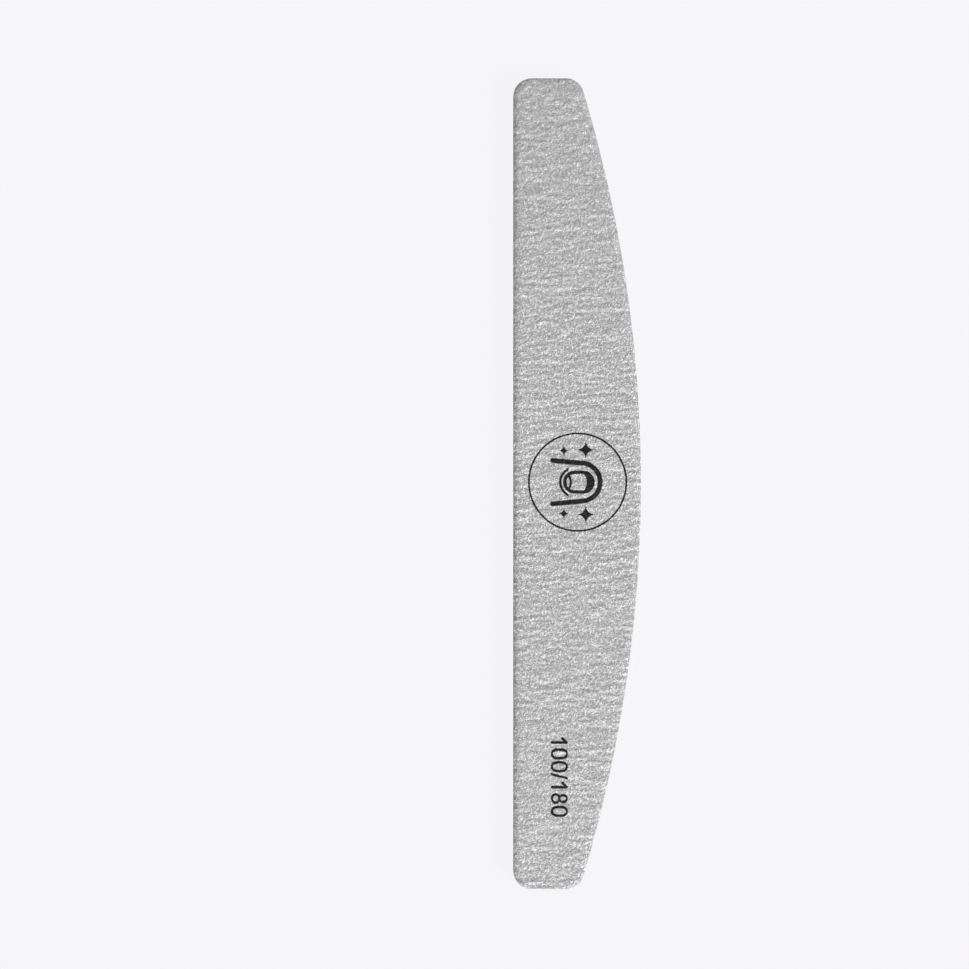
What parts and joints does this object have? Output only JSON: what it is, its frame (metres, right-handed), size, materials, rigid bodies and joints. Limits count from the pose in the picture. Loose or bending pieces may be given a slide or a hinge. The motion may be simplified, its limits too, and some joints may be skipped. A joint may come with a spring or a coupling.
{
  "type": "nail file",
  "caption": "Half-moon nail file: grit-coated paper on both faces, foam pads beneath and a stiff plastic core strip in the middle.",
  "frame": {"origin": "centre of the rear face's flat, where the file rests, midway along its length and between its straight side and the top of its bow", "axes": "+Z out of the fine front face, +Y along the length, +X from the straight side towards the bowed side"},
  "size_m": [0.028, 0.178, 0.004],
  "materials": {
    "fine_grit": "fine silicon carbide grains in a pale grey, dry matt coat",
    "coarse_grit": "coarse silicon carbide grains in a pale grey, dry matt coat",
    "backing_paper": "off-white latex paper, cut edge",
    "adhesive_tape": "thin clear double-sided tape, cut edge",
    "foam": "closed-cell foam, fine cut cells on the edge",
    "core_plastic": "white polystyrene sheet, cut edge"
  },
  "bodies": {
    "root": {"grit_coat_front": "fine_grit", "backing_paper_front": "backing_paper", "paper_tape_front": "adhesive_tape", "foam_pad_front": "foam", "core_tape_front": "adhesive_tape", "core_strip": "core_plastic", "core_tape_rear": "adhesive_tape", "foam_pad_rear": "foam", "paper_tape_rear": "adhesive_tape", "backing_paper_rear": "backing_paper", "grit_coat_rear": "coarse_grit"}
  },
  "joints": []
}
